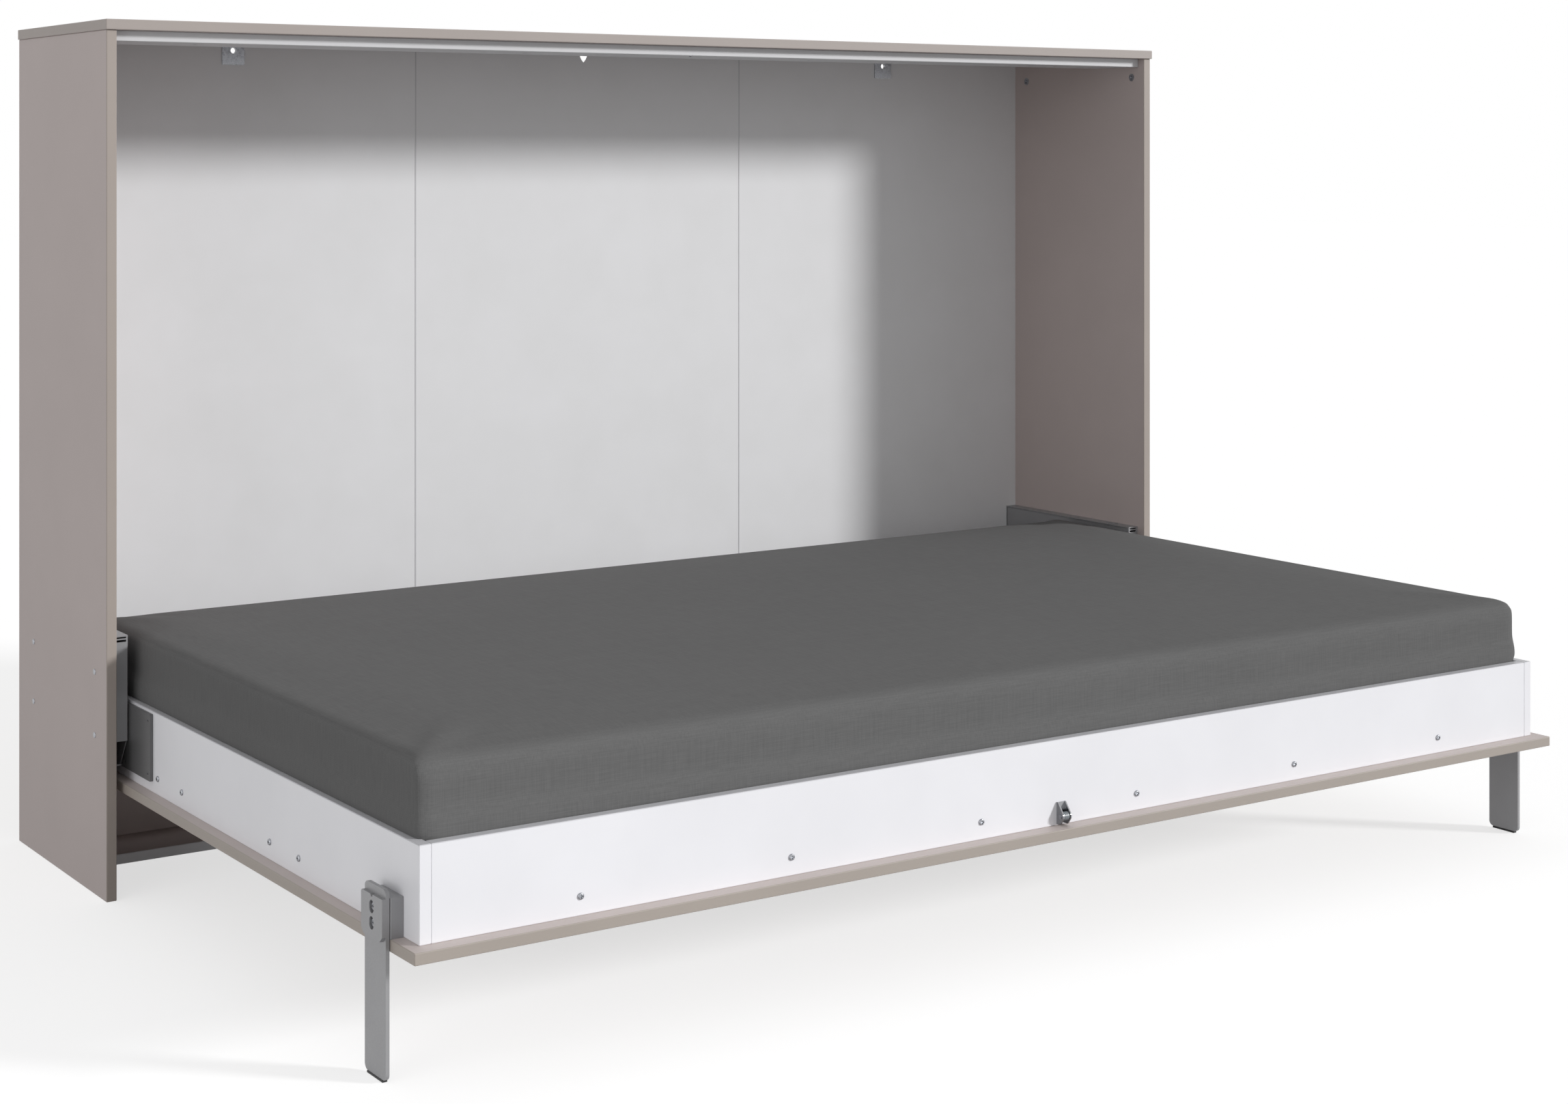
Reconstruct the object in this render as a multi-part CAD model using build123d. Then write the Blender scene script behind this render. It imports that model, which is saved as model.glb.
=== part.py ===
from build123d import *
import os
from math import hypot

# A wall bed that folds sideways into a low cabinet. It stands open, on the floor, against a wall.
# X runs along the bed, Y towards the wall and Z up. The origin is under the middle of the whole
# object, on the floor. Lengths are in millimetres.

# Bed and mattress
MATTRESS_LENGTH = 2000
MATTRESS_WIDTH = 1200
MATTRESS_THICKNESS = 180
MATTRESS_SQUEEZE = 9.5       # how far each end of the mattress is pressed in between the end boards
MATTRESS_PLAY = 2            # gap to the boards along its long sides
MATTRESS_LIP_GAP = 0.5       # gap over the end boards, and beside them
MATTRESS_CORNER = 8          # upright corners, between the boards
MATTRESS_FRONT_EDGE = 25
MATTRESS_REAR_EDGE = 70      # the worn, softer edge near the wall
MATTRESS_END_EDGE = 4
BOARD = 16                   # coated boards of the cabinet and of the bed box
EDGE = 1.2                   # rounding of the boards' edges
PAST = 1                     # how far a cut reaches past a face
BOX_HEIGHT = 121
BOX_END_GAP = 0.5            # play beside the pressed-in ends of the mattress
PANEL_THICKNESS = 15         # the bed's bottom, which is the front when it is closed
PANEL_FRONT_LIP = 24
PANEL_REAR_INSET = 4
BOX_BEHIND_PIVOT = 196.5

# Slatted base inside the box
BATTEN_WIDTH = 30
BATTEN_HEIGHT = 31
SLAT_WIDTH = 60
SLAT_THICKNESS = 12
SLAT_COUNT = 17
SLAT_PLAY = 1

# Cabinet
CABINET_DEPTH = 420
TOP_OVERHANG_SIDE = 2
TOP_OVERHANG_FRONT = 4
FRONT_INSET = 4              # closed bed panel, behind the top panel's front edge
CLOSED_GAP = 8               # between the closed bed panel and the top panel
PIVOT_HEIGHT = 240.5
PIVOT_ABOVE_PANEL = 66.5     # from the bed panel's upper face to the pivot
BACK_SETTING = 24            # from the wall to the inner face of the back panels
BACK_THICKNESS = 3
BACK_GROOVE = 8
BACK_GROOVE_PLAY = 0.1
BACK_SEAM = 346              # from the middle to each seam
SEAM_WIDTH = 2
STRIP_FLANGE_WIDTH = 20
STRIP_FLANGE_THICKNESS = 1
STRIP_PROUD = 0.5
REAR_RAIL_HEIGHT = 100
REAR_RAIL_DROP = 20
TOP_RAIL_SETBACK = 1
TOP_RAIL_DEPTH = 120
BOTTOM_BOARD_DEPTH = 203
PLINTH_TOP = 120
SWING_GAP = 7                # from the bed's swinging rear edge to the plinth board
VENT_WIDTH = 18
VENT_DROP = 3
VENT_HEIGHT = 14

# Wall brackets
BRACKET_SPACING = 1383
BRACKET_WIDTH = 40
BRACKET_HEIGHT = 34
BRACKET_REACH = 30
BRACKET_SHEET = 2
WALL_HOLE = 5
WALL_HOLE_DROP = 10

# Cam fittings in the tops of the side panels
CAM_RADIUS = 7.5
CAM_DEPTH = 12
CAM_DROP = 35.6
CAM_FRONT = 40
CAM_SPAN = 320
CAM_RECESS = 1.5
CAM_BOLT = 3
CAM_BOLT_REACH = 11

# Spring mechanism
PLATE_THICKNESS = 5
PLATE_FRONT = 153.5          # from the pivot
PLATE_REAR = 64.5
PLATE_HALF_HEIGHT = 50
PLATE_CORNER = 2
PLATE_GAP = 1
PLATE_SCREW_PITCH = 96
PLATE_SCREW_START = 48
PLATE_SCREW_HALF_HEIGHT = 40
HOUSING_WIDTH = 24
HOUSING_HEIGHT = 203
HOUSING_BOTTOM_GAP = 18      # above the bed panel
HOUSING_FRONT_GAP = 3        # behind the closed bed panel
HOUSING_SHEET = 2
HOUSING_BEND = 1.8           # rounding of the bend beside the bed
MOUTH_DROP = 5.5             # lower end of the housing's front, below the pivot
MOUTH_FRONT = 35.5           # front end of the housing's bottom, before the pivot
SLOT_HIGH = 2.4              # two slots in the front, right under the top
SLOT_BAR = 2
SLOT_LOW = 3.3
SLOT_EDGE = 3
TAB_START = 48
TAB_LENGTH = 22
TAB_HEIGHT = 2.5
TAB_WIDTH = 10
COVER_THICKNESS = 1.5
COVER_SET = 0.8              # behind the edges of the tray
COVER_GAP = 0.8
COVER_HOLE = 12
SHAFT_RADIUS = 10
SHAFT_END_GAP = 0.2
BUSH_RADIUS = 15
BUSH_LENGTH = 8
RUNNING_GAP = 0.05
BOLT_FRONT = 28.9            # before the pivot
BOLT_RISE = 1.5              # above the pivot
BOLT_SPAN_DEPTH = 288
BOLT_SPAN_HEIGHT = 96
BOLT_RADIUS = 3
BOLT_HEAD = 4.5
BOLT_HEAD_HEIGHT = 1.2
NUT_RADIUS = 5.6
NUT_HEIGHT = 4
WEB_THICKNESS = 3
WEB_HOLE_PLAY = 0.4

# Linkage between the swinging bed and the springs
PIN_RISE = 32                # height of the drawbar's pin above the pivot
PIN_RADIUS = 4
PIN_PLAY = 3.2               # side play in the lever's slot
PIN_END_PLAY = 2
LEVER_THICKNESS = 5
LEVER_WALL = 4
LEVER_TIP = 5
LEVER_GAP = 5.5              # from the cover to the lever
LEVER_HUB = 15
LEVER_ANGLE = 135            # open bed, from +Y towards +Z
EYE_THICKNESS = 4
EYE_RADIUS = 10
EYE_GAP = 1                  # from the lever to the eye plate
CROSSHEAD_BEHIND_PIN = 60
CROSSHEAD_THICKNESS = 8
CROSSHEAD_HEIGHT = 108
DRAWBAR_ROD = 4
TUBE_RADIUS = 8.5
TUBE_WALL = 1.5
TUBE_CAP = 3
TUBE_BACK_GAP = 1
TUBE_PITCH = 50
PISTON_PLAY = 0.2
PISTON_LENGTH = 6
SPRING_OPEN_LENGTH = 100
SPRING_WIRE = 1.8
SPRING_PLAY = 0.2

# Screws
SCREW_HEAD = 4.2
SCREW_SHANK = 2.1
SCREW_LENGTH = 26
PAN_HEAD = 4.5
PAN_HEAD_HEIGHT = 2.4
PAN_HEAD_DOME = 1.9
PAN_RECESS = 1.5
PLATE_SCREW_HEAD = 3
PLATE_SCREW_SHANK = 1.6
PLATE_SCREW_LENGTH = 17
RAIL_SCREW_LENGTH = 26
RAIL_SCREW_SET = 67          # behind the front edge of the top rail
RAIL_SCREW_OUTER = 881
RAIL_SCREW_INNER = 294
SCREW_FIT = 0.05
BOX_SCREW_HEIGHT = 24.4      # above the bed panel
FRONT_SCREW_PITCH = 320
FRONT_SCREW_OFFSET = 144
FRONT_SCREW_COUNT = 3
SIDE_SCREW_FRONT_PAIR = 354  # from the box's front face
SIDE_SCREW_REAR_PAIR = 770
SIDE_SCREW_PITCH = 96

# Legs
LEG_GAP = 1
LEG_BAR = 5
LEG_PLATE = 5
LEG_WIDTH = 59
LEG_BEHIND_BOX_FRONT = 42
LEG_TOP = 60.5               # above the bed panel's upper face
LEG_CORNER = 8
LEG_BRACKET_HEIGHT = 50
LEG_BRACKET_WALL = 4
LEG_BRACKET_BASE = 3
LEG_PIN = 4
LEG_PIN_HEAD = 7
LEG_PIN_HEAD_HEIGHT = 2
HEAD_PLATE_DROP = 3
HEAD_PLATE_CHAMFER = 7
HEAD_PLATE_CORNER = 2
HEAD_PLATE_NOTCH = 3
HEAD_SLOT_WIDTH = 12
HEAD_SLOT_LENGTH = 16
LEG_SCREW_PITCH = 20
LEG_SCREW_HEAD = 5
LEG_SCREW_HEAD_HEIGHT = 3
LEG_SCREW_EDGE = 1
LEG_SCREW_RECESS = 1.8
LEG_SCREW_SHANK = 2.5
PAD_WIDTH = 44
PAD_HEIGHT = 3
PAD_THICKNESS = 7
PAD_EDGE = 0.8

# Catch that holds the closed bed
CATCH_WIDTH = 15.5
CATCH_HEIGHT = 31
CATCH_DEPTH = 15
CATCH_RISE = 2               # above the bed panel
CATCH_SHEET = 2
CATCH_SHOULDER = 2.5
CATCH_NOSE_HIGH = 14.5
CATCH_NOSE_LOW = 10
CATCH_FOOT = 8
CATCH_NOSE_RADIUS = 5
ROLLER_RADIUS = 6
ROLLER_SIDE_PLAY = 1
ROLLER_REACH = 8.5
ROLLER_RISE = 12
ROLLER_EDGE = 0.6
ROLLER_PIN = 2
RIVET_HEAD = 3
RIVET_HEAD_HEIGHT = 1
PLUNGER_RADIUS = 3
PLUNGER_FIT = 0.1
PLUNGER_PROUD = 2.5
PLUNGER_BEFORE_ROLLER = 7.2
PLUNGER_LENGTH = 5
SLEEVE_RADIUS = 4.5
SLEEVE_HEIGHT = 12
SLEEVE_CAP = 1.5
CATCH_SPRING_RADIUS = 2.2
CATCH_SPRING_WIRE = 0.6

# Levels of the open bed, worked out from the sizes above
PANEL_TOP = PIVOT_HEIGHT - PIVOT_ABOVE_PANEL
PANEL_UNDERSIDE = PANEL_TOP - PANEL_THICKNESS
BOX_TOP = PANEL_TOP + BOX_HEIGHT
SLAT_BOTTOM = PANEL_TOP + BATTEN_HEIGHT
MATTRESS_BOTTOM = SLAT_BOTTOM + SLAT_THICKNESS
MATTRESS_TOP = MATTRESS_BOTTOM + MATTRESS_THICKNESS

# Depths, first from the cabinet's front face, then in the object's frame
PIVOT_SET = PIVOT_ABOVE_PANEL + PANEL_THICKNESS + FRONT_INSET
BOX_DEPTH = MATTRESS_WIDTH + 2 * MATTRESS_PLAY + 2 * BOARD
BED_REACH = BOX_DEPTH - PIVOT_SET - BOX_BEHIND_PIVOT + PANEL_FRONT_LIP
CABINET_FRONT = BED_REACH - (BED_REACH + CABINET_DEPTH) / 2
CABINET_BACK = CABINET_FRONT + CABINET_DEPTH
PIVOT_Y = CABINET_FRONT + PIVOT_SET
BOX_REAR = PIVOT_Y + BOX_BEHIND_PIVOT
BOX_FRONT = BOX_REAR - BOX_DEPTH
PANEL_FRONT = BOX_FRONT - PANEL_FRONT_LIP
PANEL_REAR = BOX_REAR - PANEL_REAR_INSET
CARCASE_FRONT = CABINET_FRONT + TOP_OVERHANG_FRONT
BACK_FACE = CABINET_BACK - BACK_SETTING
BACK_REAR = BACK_FACE + BACK_THICKNESS
MATTRESS_FRONT = BOX_FRONT + BOARD + MATTRESS_PLAY
MATTRESS_REAR = BOX_REAR - BOARD - MATTRESS_PLAY

# Heights of the cabinet: the closed bed stands from the pivot up to the top panel
TOP_UNDERSIDE = PIVOT_HEIGHT + PIVOT_Y - PANEL_FRONT + CLOSED_GAP
CABINET_HEIGHT = TOP_UNDERSIDE + BOARD
RAIL_UNDERSIDE = TOP_UNDERSIDE - BOARD
RAIL_FRONT = CABINET_FRONT + FRONT_INSET + PANEL_THICKNESS + TOP_RAIL_SETBACK

# Widths, each from the middle of the object
MATTRESS_END = MATTRESS_LENGTH / 2
BOX_INSIDE = MATTRESS_END - MATTRESS_SQUEEZE + BOX_END_GAP
BOX_SIDE = BOX_INSIDE + BOARD
PLATE_SIDE = BOX_SIDE + PLATE_THICKNESS
COVER_SIDE = PLATE_SIDE + PLATE_GAP
CABINET_INSIDE = COVER_SIDE + HOUSING_WIDTH
CABINET_SIDE = CABINET_INSIDE + BOARD
TOP_SIDE = CABINET_SIDE + TOP_OVERHANG_SIDE
LEG_PLATE_INNER = CABINET_INSIDE - LEG_GAP - LEG_PLATE
LEG_BAR_INNER = LEG_PLATE_INNER - LEG_BAR
PANEL_SIDE = LEG_BAR_INNER - LEG_GAP

parts = {}


def block(x0, x1, y0, y1, z0, z1):
    """A box from its lowest to its highest corner."""
    middle = ((x0 + x1) / 2, (y0 + y1) / 2, (z0 + z1) / 2)
    return Pos(*middle) * Box(x1 - x0, y1 - y0, z1 - z0)


def board(x0, x1, y0, y1, z0, z1):
    """A coated board with slightly rounded edges."""
    plain = block(x0, x1, y0, y1, z0, z1)
    return fillet(plain.edges(), EDGE)


def round_x(x0, x1, y, z, radius):
    """A round bar along X."""
    return Pos((x0 + x1) / 2, y, z) * Rot(0, 90, 0) * Cylinder(radius, x1 - x0)


def round_y(x, y0, y1, z, radius):
    """A round bar along Y."""
    return Pos(x, (y0 + y1) / 2, z) * Rot(90, 0, 0) * Cylinder(radius, y1 - y0)


def round_z(x, y, z0, z1, radius):
    """A round bar along Z."""
    return Pos(x, y, (z0 + z1) / 2) * Cylinder(radius, z1 - z0)


def sheet_x(x0, x1, outline):
    """A flat piece with an outline of (y, z) points, from x0 to x1."""
    corners = [(x0, y, z) for y, z in outline]
    face = make_face(Polyline(*corners, close=True))
    return extrude(face, x1 - x0, dir=(1, 0, 0))


def edges_along_x(shape):
    """The edges that run along X, which are the corners of an upright sheet."""
    return shape.edges().filter_by(Axis.X)


def group(*pieces):
    """Separate solids that share one node."""
    return Compound([solid for piece in pieces for solid in piece.solids()])


def mirrored(shape):
    """The left piece that mirrors a right one."""
    return mirror(shape, Plane.YZ)


def pair(name, right):
    """Keep a right piece and its mirror image as two nodes."""
    parts["right_" + name] = right
    parts["left_" + name] = mirrored(right)


def countersunk(head, shank, length, extra):
    """A countersunk screw's plain shape, its head's flat at Z 0, pointing down; extra widens it."""
    cone = head - shank
    top = Pos(0, 0, -cone / 2) * Cone(shank + extra, head + extra, cone)
    stem = Pos(0, 0, -(length + cone) / 2) * Cylinder(shank + extra, length - cone)
    return top + stem


def cross_recess(head, depth):
    """The cross-shaped recess of a screw's head, its mouth at Z 0."""
    arm = Box(1.3 * head, 0.26 * head, 2 * depth)
    return arm + Rot(0, 0, 90) * arm


def screw(place, length, head=SCREW_HEAD, shank=SCREW_SHANK):
    """A countersunk screw whose head lies flush at a place."""
    return place * (countersunk(head, shank, length, 0) - cross_recess(head, 0.4 * head))


def screw_hole(place, length, head=SCREW_HEAD, shank=SCREW_SHANK):
    """The clearance of such a screw."""
    return place * countersunk(head, shank, length + SCREW_FIT, SCREW_FIT)


def pan_screw(place, length):
    """A screw with a domed head that stands on the board."""
    head = Pos(0, 0, PAN_HEAD_HEIGHT / 2) * Cylinder(PAN_HEAD, PAN_HEAD_HEIGHT)
    head = fillet(head.edges().sort_by(Axis.Z)[-1], PAN_HEAD_DOME)
    head -= Pos(0, 0, PAN_HEAD_HEIGHT) * cross_recess(PAN_HEAD, PAN_RECESS)
    return place * (head + Pos(0, 0, -length / 2) * Cylinder(SCREW_SHANK, length))


def pan_screw_hole(place, length):
    """The clearance of such a screw."""
    depth = length + SCREW_FIT
    return place * (Pos(0, 0, -depth / 2) * Cylinder(SCREW_SHANK + SCREW_FIT, depth))


# Cabinet carcase
def cam_places():
    """Depth of each cam fitting in a side panel, and its height."""
    height = TOP_UNDERSIDE - CAM_DROP
    front = CABINET_FRONT + CAM_FRONT
    return [(front, height), (front + CAM_SPAN, height)]


def bolt_places():
    """Depth and height of the four bolts of a spring housing."""
    front = PIVOT_Y - BOLT_FRONT
    low = PIVOT_HEIGHT + BOLT_RISE
    depths = (front, front + BOLT_SPAN_DEPTH)
    return [(y, z) for y in depths for z in (low, low + BOLT_SPAN_HEIGHT)]


def back_panel_groove(x0, x1, z0, z1):
    """The space that the back panels need in a neighbour."""
    rear = BACK_REAR + BACK_GROOVE_PLAY
    return block(x0, x1, BACK_FACE - BACK_GROOVE_PLAY, rear, z0, z1)


cam_middle = CABINET_INSIDE + BOARD / 2
side = board(CABINET_INSIDE, CABINET_SIDE, CARCASE_FRONT, CABINET_BACK, 0, TOP_UNDERSIDE)
side -= back_panel_groove(CABINET_INSIDE - PAST, CABINET_INSIDE + BACK_GROOVE, -PAST, TOP_UNDERSIDE + PAST)
for y, z in cam_places():
    side -= round_x(CABINET_INSIDE - PAST, CABINET_INSIDE + CAM_DEPTH, y, z, CAM_RADIUS + SCREW_FIT)
    side -= round_z(cam_middle, y, z, TOP_UNDERSIDE + PAST, CAM_BOLT + SCREW_FIT)
for y, z in bolt_places():
    side -= round_x(CABINET_INSIDE - PAST, CABINET_SIDE + PAST, y, z, BOLT_RADIUS + SCREW_FIT)
pair("side_panel", side)

top = board(-TOP_SIDE, TOP_SIDE, CABINET_FRONT, CABINET_BACK, TOP_UNDERSIDE, CABINET_HEIGHT)
for y, z in cam_places():
    for x in (-cam_middle, cam_middle):
        reach = TOP_UNDERSIDE + CAM_BOLT_REACH + SCREW_FIT
        top -= round_z(x, y, TOP_UNDERSIDE - PAST, reach, CAM_BOLT + SCREW_FIT)

fittings = []
for y, z in cam_places():
    cam = round_x(CABINET_INSIDE, CABINET_INSIDE + CAM_DEPTH - SCREW_FIT, y, z, CAM_RADIUS)
    cam_recess = round_x(CABINET_INSIDE - PAST, CABINET_INSIDE + CAM_RECESS, y, z, CAM_RADIUS / 2)
    rod = round_z(cam_middle, y, z + CAM_RADIUS, TOP_UNDERSIDE + CAM_BOLT_REACH, CAM_BOLT)
    for piece in (cam - cam_recess, rod - cam):
        fittings += [piece, mirrored(piece)]

# The top rail closes the gap behind the closed bed panel and holds the catch
rail_rear = RAIL_FRONT + TOP_RAIL_DEPTH
rail = board(-CABINET_INSIDE, CABINET_INSIDE, RAIL_FRONT, rail_rear, RAIL_UNDERSIDE, TOP_UNDERSIDE)
for x in (-RAIL_SCREW_OUTER, -RAIL_SCREW_INNER, RAIL_SCREW_INNER, RAIL_SCREW_OUTER):
    place = Pos(x, RAIL_FRONT + RAIL_SCREW_SET, RAIL_UNDERSIDE) * Rot(180, 0, 0)
    hole = screw_hole(place, RAIL_SCREW_LENGTH)
    rail -= hole
    top -= hole
    fittings.append(screw(place, RAIL_SCREW_LENGTH))
parts["top_panel"] = top
parts["cabinet_fittings"] = group(*fittings)

# Back panels in the side panels' grooves, with a strip over each seam
vent_middle = RAIL_UNDERSIDE + VENT_HEIGHT / 2
vent_arc = VENT_HEIGHT * 0.55
vent = make_face(
    Line((-VENT_WIDTH / 2, TOP_UNDERSIDE - VENT_DROP), (VENT_WIDTH / 2, TOP_UNDERSIDE - VENT_DROP))
    + ThreePointArc(
        (VENT_WIDTH / 2, TOP_UNDERSIDE - VENT_DROP),
        (VENT_WIDTH * 0.36, vent_middle),
        (0, TOP_UNDERSIDE - VENT_DROP - VENT_HEIGHT),
    )
    + ThreePointArc(
        (0, TOP_UNDERSIDE - VENT_DROP - VENT_HEIGHT),
        (-VENT_WIDTH * 0.36, vent_middle),
        (-VENT_WIDTH / 2, TOP_UNDERSIDE - VENT_DROP),
    )
)
vent_cut = Pos(0, BACK_REAR + PAST, 0) * extrude(
    Rot(90, 0, 0) * vent, BACK_THICKNESS + 2 * PAST, dir=(0, -1, 0)
)
seam_edge = SEAM_WIDTH / 2
back_end = CABINET_INSIDE + BACK_GROOVE - BACK_GROOVE_PLAY
wall_hole_height = TOP_UNDERSIDE - WALL_HOLE_DROP


def back_panel(x0, x1):
    """One back panel, with the wall screws' holes where they fall in it."""
    panel = block(x0, x1, BACK_FACE, BACK_REAR, 0, TOP_UNDERSIDE)
    for x in (-BRACKET_SPACING / 2, BRACKET_SPACING / 2):
        panel -= round_y(x, BACK_FACE - PAST, BACK_REAR + PAST, wall_hole_height, WALL_HOLE)
    return panel


parts["back_panel_left"] = back_panel(-back_end, -BACK_SEAM - seam_edge)
parts["back_panel_middle"] = back_panel(-BACK_SEAM + seam_edge, BACK_SEAM - seam_edge) - vent_cut
parts["back_panel_right"] = back_panel(BACK_SEAM + seam_edge, back_end)

strips = []
for x in (-BACK_SEAM, BACK_SEAM):
    web = block(x - seam_edge, x + seam_edge, BACK_FACE - STRIP_PROUD, BACK_REAR, BOARD, TOP_UNDERSIDE)
    flange_half = STRIP_FLANGE_WIDTH / 2
    flange_rear = BACK_REAR + STRIP_FLANGE_THICKNESS
    flange = block(x - flange_half, x + flange_half, BACK_REAR, flange_rear, 0, TOP_UNDERSIDE)
    strips.append(web + flange)
parts["back_joint_strips"] = group(*strips)

rail_y = BACK_REAR + STRIP_FLANGE_THICKNESS
rear_top = TOP_UNDERSIDE - REAR_RAIL_DROP
parts["rear_top_rail"] = board(
    -CABINET_INSIDE, CABINET_INSIDE, rail_y, rail_y + BOARD, rear_top - REAR_RAIL_HEIGHT, rear_top
)
parts["rear_bottom_rail"] = board(
    -CABINET_INSIDE, CABINET_INSIDE, rail_y, rail_y + BOARD, 0, REAR_RAIL_HEIGHT
)

# Bottom board on the floor, with the plinth board standing on it behind the swinging bed
bottom_front = BACK_FACE - BOTTOM_BOARD_DEPTH
parts["bottom_board"] = board(-CABINET_INSIDE, CABINET_INSIDE, bottom_front, BACK_FACE, 0, BOARD)
swing_radius = hypot(BOX_BEHIND_PIVOT, PIVOT_HEIGHT - PANEL_TOP)
plinth_y = PIVOT_Y + swing_radius + SWING_GAP
parts["plinth_board"] = board(
    -CABINET_INSIDE, CABINET_INSIDE, plinth_y, plinth_y + BOARD, BOARD, PLINTH_TOP
)

# Wall brackets, bent from sheet, under the top panel
brackets = []
for x in (-BRACKET_SPACING / 2, BRACKET_SPACING / 2):
    x0 = x - BRACKET_WIDTH / 2
    x1 = x + BRACKET_WIDTH / 2
    foot = TOP_UNDERSIDE - BRACKET_HEIGHT
    tip = BACK_FACE - BRACKET_REACH
    upright = block(x0, x1, BACK_FACE - BRACKET_SHEET, BACK_FACE, foot, TOP_UNDERSIDE)
    shelf = block(x0, x1, tip, BACK_FACE, TOP_UNDERSIDE - BRACKET_SHEET, TOP_UNDERSIDE)
    hole = round_y(x, BACK_FACE - BRACKET_SHEET - PAST, BACK_FACE + PAST, wall_hole_height, WALL_HOLE)
    brackets.append(upright + shelf - hole)
parts["wall_brackets"] = group(*brackets)


# Spring housing on each side panel
housing_front = CABINET_FRONT + FRONT_INSET + PANEL_THICKNESS + HOUSING_FRONT_GAP
housing_rear = BACK_FACE
housing_bottom = PANEL_TOP + HOUSING_BOTTOM_GAP
housing_top = housing_bottom + HOUSING_HEIGHT
cover_face = COVER_SIDE + COVER_SET
cover_back = cover_face + COVER_THICKNESS
tray_floor = CABINET_INSIDE - HOUSING_SHEET


def housing_outline(inset):
    """The housing's side view, open at its lower front corner; inset is from the outside."""
    return [
        (housing_front + inset, PIVOT_HEIGHT - MOUTH_DROP),
        (housing_front + inset, housing_top - inset),
        (housing_rear - inset, housing_top - inset),
        (housing_rear - inset, housing_bottom + inset),
        (PIVOT_Y - MOUTH_FRONT, housing_bottom + inset),
    ]


tray = sheet_x(COVER_SIDE, CABINET_INSIDE, housing_outline(0))
bend = tray.edges().filter_by(Axis.Z).sort_by(lambda edge: edge.center().X + edge.center().Y)[0]
tray = fillet(bend, HOUSING_BEND)
hollow = sheet_x(COVER_SIDE - PAST, tray_floor, housing_outline(HOUSING_SHEET))
mouth = [
    (housing_front - PAST, PIVOT_HEIGHT - MOUTH_DROP),
    (housing_front + HOUSING_SHEET, PIVOT_HEIGHT - MOUTH_DROP),
    (PIVOT_Y - MOUTH_FRONT, housing_bottom + HOUSING_SHEET),
    (PIVOT_Y - MOUTH_FRONT, housing_bottom - PAST),
    (housing_front - PAST, housing_bottom - PAST),
]
tray = tray - hollow - sheet_x(COVER_SIDE - PAST, tray_floor, mouth)
slot_top = housing_top - HOUSING_SHEET
low_slot_top = slot_top - SLOT_HIGH - SLOT_BAR
for z0, z1 in ((slot_top - SLOT_HIGH, slot_top), (low_slot_top - SLOT_LOW, low_slot_top)):
    tray -= block(
        COVER_SIDE + SLOT_EDGE,
        tray_floor - SLOT_EDGE,
        housing_front - PAST,
        housing_front + HOUSING_SHEET + PAST,
        z0,
        z1,
    )
tray += block(
    cover_back + SLOT_EDGE,
    cover_back + SLOT_EDGE + TAB_WIDTH,
    housing_front + TAB_START,
    housing_front + TAB_START + TAB_LENGTH,
    housing_top - HOUSING_SHEET,
    housing_top + TAB_HEIGHT - HOUSING_SHEET / 2,
)

# The web inside the tray carries the front ends of the spring tubes
lever_side = COVER_SIDE + LEVER_GAP
lever_outer = lever_side + LEVER_THICKNESS
eye_side = lever_outer + EYE_GAP
eye_outer = eye_side + EYE_THICKNESS
tube_x = tray_floor - TUBE_BACK_GAP - TUBE_RADIUS
pin_height = PIVOT_HEIGHT + PIN_RISE
tube_heights = [pin_height + step * TUBE_PITCH for step in (-1, 0, 1)]
pin_y = PIVOT_Y - PIN_RISE
pin_travel = 2 * PIN_RISE
crosshead_rear = pin_y + CROSSHEAD_BEHIND_PIN + CROSSHEAD_THICKNESS
web_front = crosshead_rear + pin_travel + CROSSHEAD_THICKNESS / 4
tube_front = web_front + WEB_THICKNESS
tube_rear = housing_rear - HOUSING_SHEET
web = block(
    cover_back,
    tray_floor,
    web_front,
    tube_front,
    housing_bottom + HOUSING_SHEET,
    housing_top - HOUSING_SHEET,
)
for z in tube_heights:
    web -= round_y(tube_x, web_front - PAST, tube_front + PAST, z, DRAWBAR_ROD + WEB_HOLE_PLAY)
tray += web
for y, z in bolt_places():
    tray -= round_x(tray_floor - PAST, CABINET_INSIDE + PAST, y, z, BOLT_RADIUS + SCREW_FIT)
pair("housing", tray)

cover = sheet_x(cover_face, cover_back, housing_outline(HOUSING_SHEET + COVER_GAP))
cover -= round_x(cover_face - PAST, cover_back + PAST, PIVOT_Y, PIVOT_HEIGHT, COVER_HOLE)
pair("housing_cover", cover)

# Bolts with a low domed head outside and a nut inside
bolts = []
for y, z in bolt_places():
    bolt = round_x(tray_floor - NUT_HEIGHT, CABINET_SIDE + BOLT_HEAD_HEIGHT / 2, y, z, BOLT_RADIUS)
    head = round_x(CABINET_SIDE, CABINET_SIDE + BOLT_HEAD_HEIGHT, y, z, BOLT_HEAD)
    head = fillet(head.edges().sort_by(Axis.X)[-1], BOLT_HEAD_HEIGHT * 0.8)
    hexagon = Rot(0, 90, 0) * RegularPolygon(NUT_RADIUS, 6)
    nut = Pos(tray_floor - NUT_HEIGHT, y, z) * extrude(hexagon, NUT_HEIGHT, dir=(1, 0, 0))
    nut -= round_x(tray_floor - NUT_HEIGHT - PAST, tray_floor + PAST, y, z, BOLT_RADIUS + SCREW_FIT)
    bolts += [bolt + head, nut, mirrored(bolt + head), mirrored(nut)]
parts["housing_bolts"] = group(*bolts)

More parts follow.
